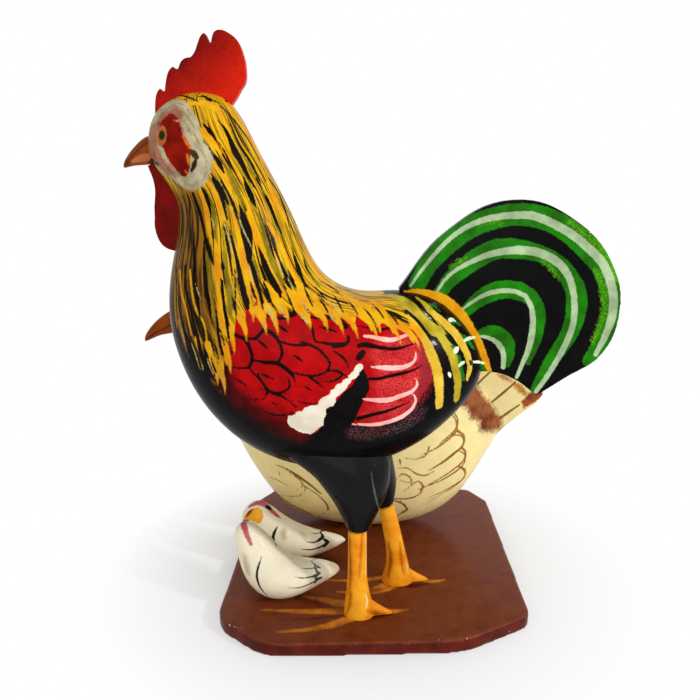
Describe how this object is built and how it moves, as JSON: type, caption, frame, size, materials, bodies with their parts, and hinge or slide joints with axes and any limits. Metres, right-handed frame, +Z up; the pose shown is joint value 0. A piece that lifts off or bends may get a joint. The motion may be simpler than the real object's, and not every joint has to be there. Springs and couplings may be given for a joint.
{
  "type": "painted wooden rooster and hen figure group",
  "caption": "Carved and painted softwood rooster, with a sitting hen and chicks beside it, all fixed to one flat wooden board with cut corners.",
  "frame": {"origin": "centre of the board's underside, where the group rests", "axes": "+Z up, -X the way the birds face, -Y the rooster's side of the board, which is its front"},
  "size_m": [0.2244, 0.1572, 0.2508],
  "materials": {
    "board_paint": "gloss",
    "rooster_paint": "gloss",
    "comb_paint": "gloss",
    "beak_paint": "gloss",
    "tail_paint": "gloss",
    "thigh_paint": "gloss",
    "leg_paint": "gloss",
    "hen_paint": "gloss",
    "hen_beak_paint": "gloss",
    "chick_paint": "gloss",
    "nail_steel": "satin",
    "bare_wood": "matte"
  },
  "bodies": {
    "root": {"base_board": "board_paint", "rooster_body": "rooster_paint", "rooster_comb": "comb_paint", "rooster_beak": "beak_paint", "rooster_wattle": "comb_paint", "rooster_tail": "tail_paint", "rooster_tail_upper_nail": "nail_steel", "rooster_tail_lower_nail": "nail_steel", "rooster_left_thigh": "thigh_paint", "rooster_right_thigh": "thigh_paint", "rooster_left_thigh_peg": "bare_wood", "rooster_right_thigh_peg": "bare_wood", "rooster_left_leg": "leg_paint", "rooster_right_leg": "leg_paint", "hen_body": "hen_paint", "hen_comb": "comb_paint", "hen_beak": "hen_beak_paint", "hen_wattle": "comb_paint", "hen_tail": "hen_paint", "hen_front_nail": "nail_steel", "hen_rear_nail": "nail_steel", "front_chick": "chick_paint", "front_chick_nail": "nail_steel", "rear_chick": "chick_paint", "rear_chick_nail": "nail_steel"}
  },
  "joints": []
}
